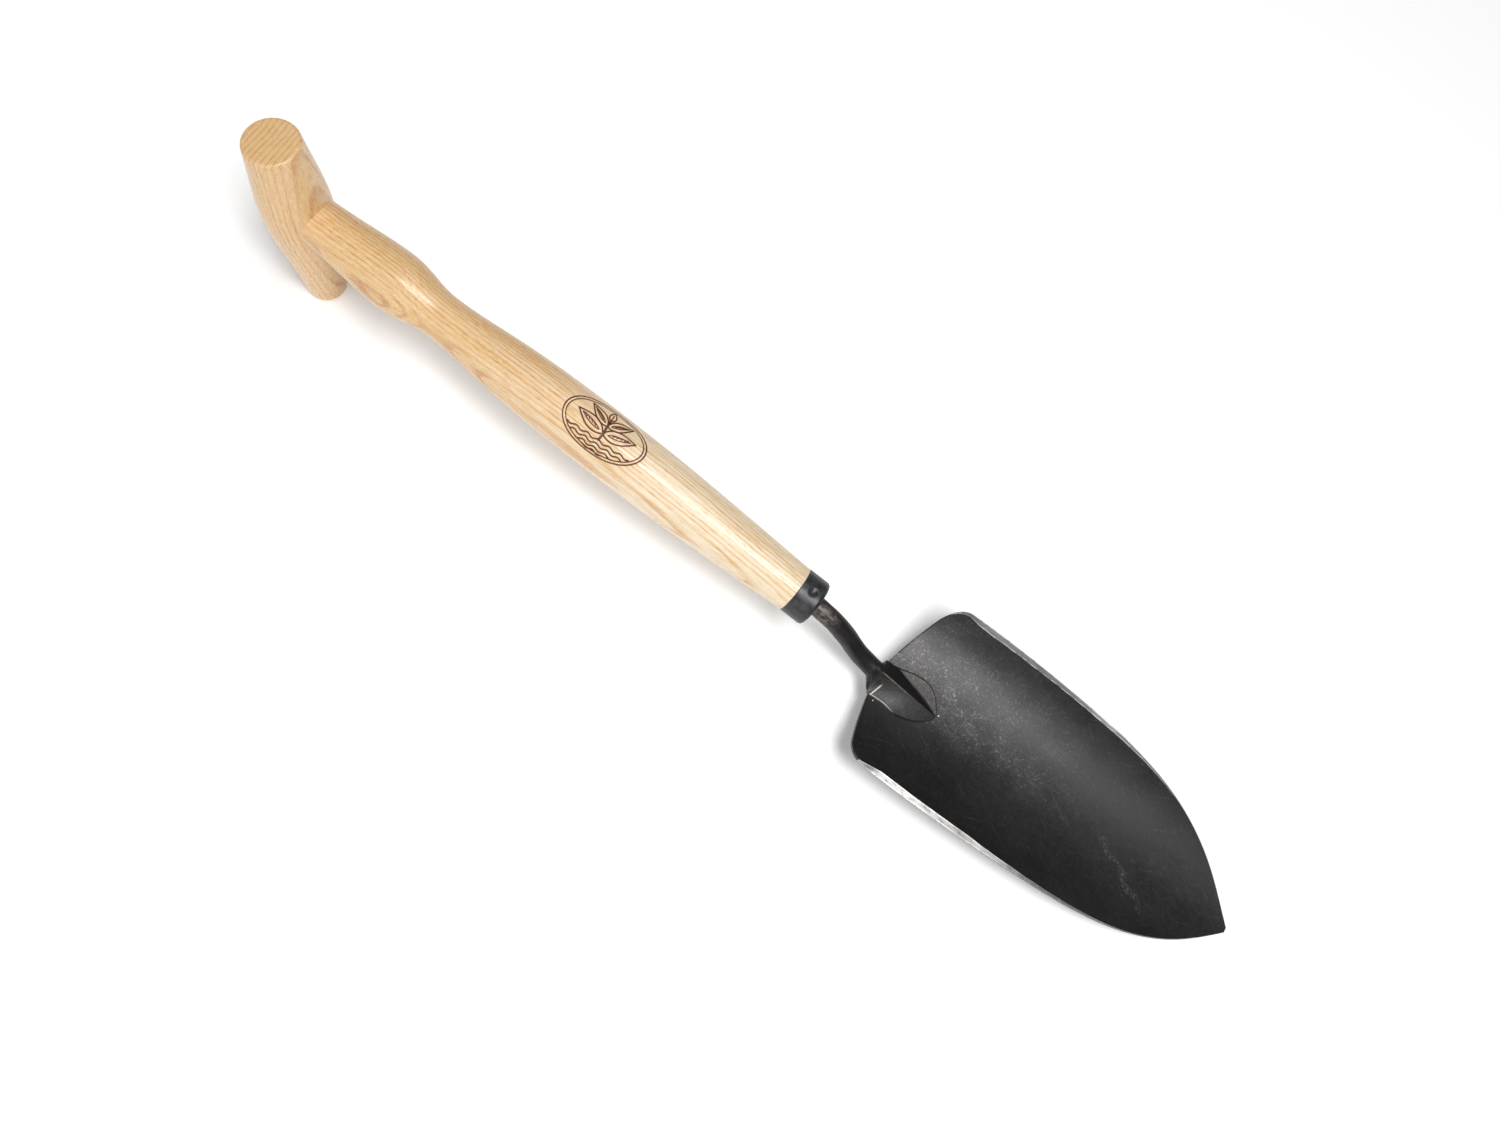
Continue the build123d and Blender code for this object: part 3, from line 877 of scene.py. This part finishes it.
def bead(at_x, at_y, size, sectors=20):
    """Rings of a small weld bead on the hollow face."""
    rings = []
    for height, radius, _ in BEAD:
        loop = []
        for j in range(sectors):
            turn = 2 * pi * j / sectors
            x, y = at_x + size * radius * cos(turn), at_y + size * radius * sin(turn)
            loop.append(Vector((x, y, hollow(x, y) + size * height)))
        rings.append(loop)
    return rings


def make_neck():
    """Bar, foot and two weld beads, which are one forging."""
    points, faces, bare = [], [], []
    foot, foot_bare = foot_rings()
    parts = [(neck_rings(), None), (foot, foot_bare)]
    for at_x, at_y, size in BEADS:
        rings = bead(at_x, at_y, size)
        parts.append((rings, [wear_and_light for *_, wear_and_light in BEAD for _ in rings[0]]))
    for rings, wear_and_light in parts:
        more_points, more_faces = skin(rings)
        faces += [tuple(k + len(points) for k in face) for face in more_faces]
        points += more_points
        wear_and_light = wear_and_light or [0.0] * len(more_points)
        bare += wear_and_light + [0.0] * (len(more_points) - len(wear_and_light))
    return place("forged_neck", points, faces, [neck_steel()], "neck", "forged_neck",
                 sharp=32, bare=bare)


# ---- ferrule and pin ----


def make_ferrule():
    """Drawn cup with a rounded front, a hole for the neck and a punched dimple over the pin."""
    inner, hole = SPIGOT_RADIUS, NECK_RADIUS + 0.25
    rear, bend = -FERRULE_LENGTH, FERRULE_ROUND
    outside = [(rear, inner + 0.02), (rear, FERRULE_RADIUS - 0.25), (rear + 0.08, FERRULE_RADIUS - 0.08),
               (rear + 0.25, FERRULE_RADIUS)]
    outside += [(x, FERRULE_RADIUS) for x in np.linspace(rear + 0.45, -bend - 0.1, 44)]
    outside += [(-bend + bend * sin(a), FERRULE_RADIUS - bend + bend * cos(a))
                for a in np.linspace(0, pi / 2, 12)]
    outside += [(0, r) for r in np.linspace(FERRULE_RADIUS - bend, hole + 0.3, 8)[1:]]
    outside += [(-0.1, hole + 0.08), (-0.3, hole), (-FERRULE_FRONT, hole), (-FERRULE_FRONT, inner)]
    rings = [ring(x, radius, 192) for x, radius in outside]
    centre = Vector((-FERRULE_LENGTH / 2, 0, FERRULE_RADIUS))
    for loop in rings:
        for p in loop:
            away = (p - centre).length / DIMPLE_RADIUS
            if away < 1 and p.z > 0:
                p.z -= DIMPLE_DEPTH * (1 - away * away) ** 2
            if hypot(p.y, p.z) > inner + 0.3:
                p.z += 0.03 * noise.noise(p / 2.5)
    points, faces = skin(rings, wrapped=True)
    return place("ferrule_cup", points, faces,
                 [ferrule_steel("blued_steel", (0.026, 0.0268, 0.030), (0.060, 0.061, 0.066))],
                 "ferrule", "ferrule_steel", sharp=35)


def make_pin():
    """Nail with a small domed head at the bottom of the dimple."""
    top = pin_high.z - PIN_SET
    profile = [(top - depth, radius) for depth, radius in NAIL_HEAD]
    profile += [(z, NAIL_SHANK) for z in np.linspace(top - 0.7, pin_low.z + 0.4, 30)]
    profile += [(pin_low.z + 0.15, 1.0), (pin_low.z, 0.6)]
    rings = []
    for height, radius in profile:
        radius *= PIN_RADIUS / NAIL_DRAWN
        rings.append([Vector((-FERRULE_LENGTH / 2 + p.y, p.z, height)) for p in ring(0, radius, 40)])
    points, faces = skin(rings)
    return place("ferrule_nail", points, faces,
                 [ferrule_steel("dark_nail_steel", (0.015, 0.015, 0.016), (0.035, 0.034, 0.034))],
                 "ferrule_pin", "pin_steel", sharp=40)


# ---- wood ----


def grip_profile():
    """Radius along the grip's axis, from its long end to its short one, with eased ends."""
    return smooth_curve([
        (-GRIP_LONG, GRIP_LONG_RADIUS),
        (-0.52 * GRIP_LONG, GRIP_BELLY_RADIUS - 2.5),
        (0, GRIP_BELLY_RADIUS),
        (0.52 * GRIP_SHORT, GRIP_BELLY_RADIUS - 1.3),
        (GRIP_SHORT, GRIP_SHORT_RADIUS),
    ], count=160)


GRIP_TURNED = grip_profile()


def grip_radius(z):
    """Radius of the grip at a height on its axis."""
    return float(np.interp(z, GRIP_TURNED[:, 0], GRIP_TURNED[:, 1]))


def in_grip(p):
    """Whether a point of the tool's frame is inside the grip."""
    q = TOOL_TO_GRIP @ p
    return hypot(q.x, q.y) < grip_radius(q.z)


def shaft_profile():
    """Distance from the ferrule's front and radius, along the shaft."""
    level = (1, 0)
    spans = [
        smooth_curve([(FERRULE_LENGTH, MOUTH_RADIUS), MAIN_SWELL], (1, 0.045), level, 60),
        smooth_curve([MAIN_SWELL, BEFORE_WAIST, WAIST], level, level, 60),
        smooth_curve([WAIST, HAND_SWELL], level, level, 30),
        smooth_curve([HAND_SWELL, BEFORE_JOINT, (-GRIP_AXIS_X, JOINT_RADIUS)], level, (1, -0.03), 40),
    ]
    return np.concatenate([spans[0]] + [span[1:] for span in spans[1:]])


GRIP_AXIS_X = GRIP_TO_TOOL.translation.x
SHAFT_TURNED = shaft_profile()


def shaft_radius(x):
    """Radius of the shaft at a place on its axis."""
    return float(np.interp(-x, SHAFT_TURNED[:, 0], SHAFT_TURNED[:, 1]))


def cope_end(turn):
    """Where the shaft's surface meets the grip, at a turn around the shaft."""
    low, high = GRIP_AXIS_X, GRIP_AXIS_X + 30
    for _ in range(30):
        middle = (low + high) / 2
        radius = shaft_radius(middle)
        p = Vector((middle, radius * sin(turn), radius * cos(turn)))
        low, high = (middle, high) if in_grip(p) else (low, middle)
    return high


def segment_distance(points, a, b):
    """Distance of each point from the line between a and b."""
    a, b = np.array(a, float), np.array(b, float)
    t = np.clip(((points - a) @ (b - a)) / ((b - a) @ (b - a)), 0, 1)
    return np.linalg.norm(points - a - t[:, None] * (b - a), axis=1)


def stroke(points, path, width):
    """How much of each point is under a stroke along a path: 1 inside it and 0 outside."""
    distance = np.min([segment_distance(points, a, b) for a, b in zip(path, path[1:])], axis=0)
    return np.clip((width / 2 - distance) / 0.22 + 0.5, 0, 1)


def oval(length, width):
    """Points around an oval."""
    turns = np.linspace(0, 2 * pi, 96)
    return [(length / 2 * cos(a), width / 2 * sin(a)) for a in turns]


def leaf(foot, tip, fullness):
    """Outline of a pointed leaf between two points."""
    foot, tip = np.array(foot, float), np.array(tip, float)
    run = tip - foot
    side = np.array((-run[1], run[0]))
    ts = np.linspace(0, 1, 16)
    there = [foot + run * t + side * fullness * sin(pi * t ** 0.8) for t in ts]
    back_again = [foot + run * t - side * fullness * sin(pi * t ** 0.8) for t in ts[-2::-1]]
    return there + back_again


def seedling(points):
    """A generic burnt mark: a double oval around a seedling over a row of furrows."""
    marks = [
        stroke(points, oval(MARK_LENGTH, MARK_WIDTH), 0.5),
        stroke(points, oval(MARK_LENGTH - 2.4, MARK_WIDTH - 2.4), 0.42),
        stroke(points, [(0, -4.6), (0.3, -1.5), (0, 1.2), (0, 4.6)], 0.9),
        stroke(points, leaf((0, 4.2), (0, 9.2), 0.28), 0.5),
        stroke(points, [(0, 4.6), (0, 7.6)], 0.4),
    ]
    for side in (-1, 1):
        for height, reach, rise in ((-1.8, 12.6, 3.6), (1.6, 9.0, 5.4)):
            tip = (side * reach, height + rise)
            marks.append(stroke(points, leaf((0, height), tip, 0.19), 0.55))
            marks.append(stroke(points, leaf((side * 0.16 * reach, height + 0.16 * rise),
                                             (0.84 * tip[0], height + 0.84 * rise), 0.08), 0.4))
            for part in (0.3, 0.42, 0.54, 0.66):
                root = np.array((part * tip[0], height + part * rise))
                marks.append(stroke(points, [root, root + (side * 1.2, 0.9)], 0.36))
    for row, reach in ((-4.9, 13.4), (-6.5, 11.4), (-8.1, 8.2), (-9.4, 4.2)):
        furrow = [(x, row + 0.4 * cos(x * 1.3)) for x in np.linspace(-reach, reach, 44)]
        marks.append(stroke(points, furrow, 0.55))
    return np.max(marks, axis=0)


def shaft_stations():
    """Distances behind the ferrule's front along the shaft's turned part, finer at the mark."""
    coarse, fine = 1.1, 0.2
    places, s = [], FERRULE_LENGTH
    while s < -GRIP_AXIS_X - 8:
        places.append(s)
        s += fine if abs(s - MARK_AT) < MARK_LENGTH / 2 + 1 else coarse
    return places


def shaft_turns():
    """Angles around the shaft, finer at the mark."""
    half = MARK_WIDTH / 2 / MAIN_SWELL[1] + 0.06
    fine = list(np.arange(MARK_TURN - half, MARK_TURN + half, 0.016))
    coarse = list(np.linspace(MARK_TURN + half, MARK_TURN - half + 2 * pi, 72, endpoint=False))
    return fine + coarse


def burnt_mark(stations, turns):
    """How burnt each point of the shaft is, ring by ring."""
    flat = np.array([(MARK_AT - s, (turn - MARK_TURN) * shaft_radius(-s))
                     for s in stations for turn in turns])
    slant = ((cos(MARK_SLANT), -sin(MARK_SLANT)), (sin(MARK_SLANT), cos(MARK_SLANT)))
    flat = flat @ np.array(slant)
    near = (np.abs(flat[:, 0]) < MARK_LENGTH / 2 + 1) & (np.abs(flat[:, 1]) < MARK_WIDTH / 2 + 1)
    burn = np.zeros(len(flat))
    burn[near] = seedling(flat[near])
    return burn.reshape(len(stations), len(turns))


def make_shaft():
    """Turned shaft: spigot in the ferrule, swells and waist, and an end coped to the grip."""
    stations, turns = shaft_stations(), shaft_turns()
    burn = burnt_mark(stations, turns)
    ends = [cope_end(turn) for turn in turns]
    last = -stations[-1]
    rings, burnt, stain = [], [], []

    def loop(place_of, radius_of, char=None, dark=0.0):
        rings.append([Vector((place_of(j), radius_of(j) * sin(t), radius_of(j) * cos(t)))
                      for j, t in enumerate(turns)])
        burnt.extend(char if char is not None else [0.0] * len(turns))
        stain.extend([dark] * len(turns))

    in_ferrule = [
        (-FERRULE_FRONT, 4.3),
        (-FERRULE_FRONT, SPIGOT_RADIUS - 0.3),
        (-FERRULE_FRONT - 0.3, SPIGOT_RADIUS),
        (-FERRULE_LENGTH + 0.2, SPIGOT_RADIUS),
        (-FERRULE_LENGTH + 0.15, MOUTH_RADIUS - 0.25),
    ]
    for x, radius in in_ferrule:
        loop(lambda j: x, lambda j: radius, dark=0.6)
    for k, s in enumerate(stations):
        loop(lambda j: -s, lambda j: shaft_radius(-s) - 0.12 * burn[k][j], burn[k])
    for step, dark in ((0.25, 0.0), (0.5, 0.0), (0.72, 0.0), (0.89, 0.0), (0.94, 0.6)):
        loop(lambda j: last + (ends[j] - last) * step,
             lambda j: shaft_radius(last + (ends[j] - last) * step), dark=dark)
    loop(lambda j: ends[j] + 0.12, lambda j: shaft_radius(ends[j]) - 0.05, dark=1.0)
    loop(lambda j: ends[j] - 0.25, lambda j: shaft_radius(ends[j]) - 0.35, dark=1.0)
    loop(lambda j: GRIP_AXIS_X + 6, lambda j: 5.0)
    points, faces = skin(rings)
    # The warm tone that comes in towards the grip end is partly painted shade.
    material = ash("varnished_ash", GRAIN_TURN @ TO_TOOL, (-58, 26), 1.5, 0.012, (-60, -185))
    return place("ash_shaft", points, faces, [material], "shaft", "ash_shaft", sharp=50,
                 burn=burnt, stain=stain)


def make_grip():
    """Turned cross bar with a belly, flat sawn ends and eased edges."""
    low, high = -GRIP_LONG, GRIP_SHORT
    profile = [(low, r) for r in np.linspace(0.4, GRIP_LONG_RADIUS - GRIP_EASE, 9)]
    profile += [(low + GRIP_EASE * (1 - cos(a)),
                 grip_radius(low + GRIP_EASE) - GRIP_EASE * (1 - sin(a)))
                for a in np.linspace(0.12, pi / 2, 9)]
    between = np.linspace(low + GRIP_EASE + 0.5, high - GRIP_EASE - 0.5, 118)
    profile += [(z, grip_radius(z)) for z in between]
    profile += [(high - GRIP_EASE * (1 - sin(a)),
                 grip_radius(high - GRIP_EASE) - GRIP_EASE * (1 - cos(a)))
                for a in np.linspace(0, pi / 2 - 0.12, 9)]
    profile += [(high, r) for r in np.linspace(GRIP_SHORT_RADIUS - GRIP_EASE, 0.4, 11)]
    rings = []
    for z, radius in profile:
        rings.append([GRIP_TO_TOOL @ Vector((p.y, p.z, z)) for p in ring(0, radius, 144)])
    points, faces = skin(rings)
    grain = GRAIN_TURN @ Matrix.Rotation(radians(90), 4, "Y") @ TOOL_TO_GRIP @ TO_TOOL
    material = ash("varnished_ash_grip", grain, (20, 260), 1.9, 0.006, (400, 300),
                   figure=0.5, contrast=0.85)
    return place("ash_grip", points, faces, [material], "grip", "ash_grip", sharp=45)


# ---- scene ----


def make_floor():
    """Plain pale floor under the tool."""
    half, cells, level = 3.0, 12, -0.0001
    row = cells + 1
    steps = [half * (2 * i / cells - 1) for i in range(row)]
    points = [(x, y, level) for x in steps for y in steps]
    corners = [i * row + j for i in range(cells) for j in range(cells)]
    faces = [(k, k + row, k + row + 1, k + 1) for k in corners]
    mesh = bpy.data.meshes.new("floor")
    mesh.from_pydata(points, [], faces)
    mesh.materials.append(plain_floor())
    floor = bpy.data.objects.new("floor", mesh)
    bpy.context.scene.collection.objects.link(floor)


def soft_light(name, direction, distance, size, power):
    """An area light that faces the middle of the tool."""
    data = bpy.data.lights.new(name, "AREA")
    data.shape = "RECTANGLE"
    data.size, data.size_y = size
    data.energy = power
    light = bpy.data.objects.new(name, data)
    direction = Vector(direction).normalized()
    light.location = direction * distance
    light.rotation_euler = direction.to_track_quat("Z", "Y").to_euler()
    bpy.context.scene.collection.objects.link(light)


def make_lights():
    """Pale surroundings and broad overhead lights."""
    world = bpy.data.worlds.new("pale_room")
    world.use_nodes = True
    background = world.node_tree.nodes["Background"]
    background.inputs["Color"].default_value = (1, 1, 1, 1)
    background.inputs["Strength"].default_value = 0.10
    bpy.context.scene.world = world
    soft_light("overhead", (0.30, -0.23, 1.5), 1.57, (0.4, 0.7), 19)
    soft_light("left", (0.1, 0.55, 1.2), 1.6, (0.6, 0.6), 3)
    soft_light("right", (-0.1, -1.0, 0.5), 1.6, (1.2, 0.7), 6)
    soft_light("rear", (-0.75, -0.5, 0.8), 1.8, (1.2, 1.2), 3)


def make_camera():
    """Camera above and a little to the right of the tool, rolled so that the tool lies diagonally."""
    elevation, azimuth, roll = radians(70.75), radians(1.0), radians(36.76)
    aim, distance = Vector((-0.0093, -0.0010, 0.0300)), 0.4938
    data = bpy.data.cameras.new("camera")
    data.sensor_width = 36.0
    data.lens = 30.42
    data.clip_start = 0.01
    camera = bpy.data.objects.new("camera", data)
    flat = cos(elevation)
    towards = Vector((-flat * sin(azimuth), -flat * cos(azimuth), sin(elevation)))
    level = towards.cross(Vector((0, 0, 1))).normalized() * -1
    upright = towards.cross(level)
    right = level * cos(roll) + upright * sin(roll)
    camera.matrix_world = Matrix.LocRotScale(
        aim + towards * distance, Matrix((right, towards.cross(right), towards)).transposed(), None)
    bpy.context.scene.collection.objects.link(camera)
    bpy.context.scene.camera = camera


make_blade()
make_neck()
make_ferrule()
make_pin()
make_shaft()
make_grip()
make_floor()
make_lights()
make_camera()
bpy.context.scene.view_settings.view_transform = "Standard"
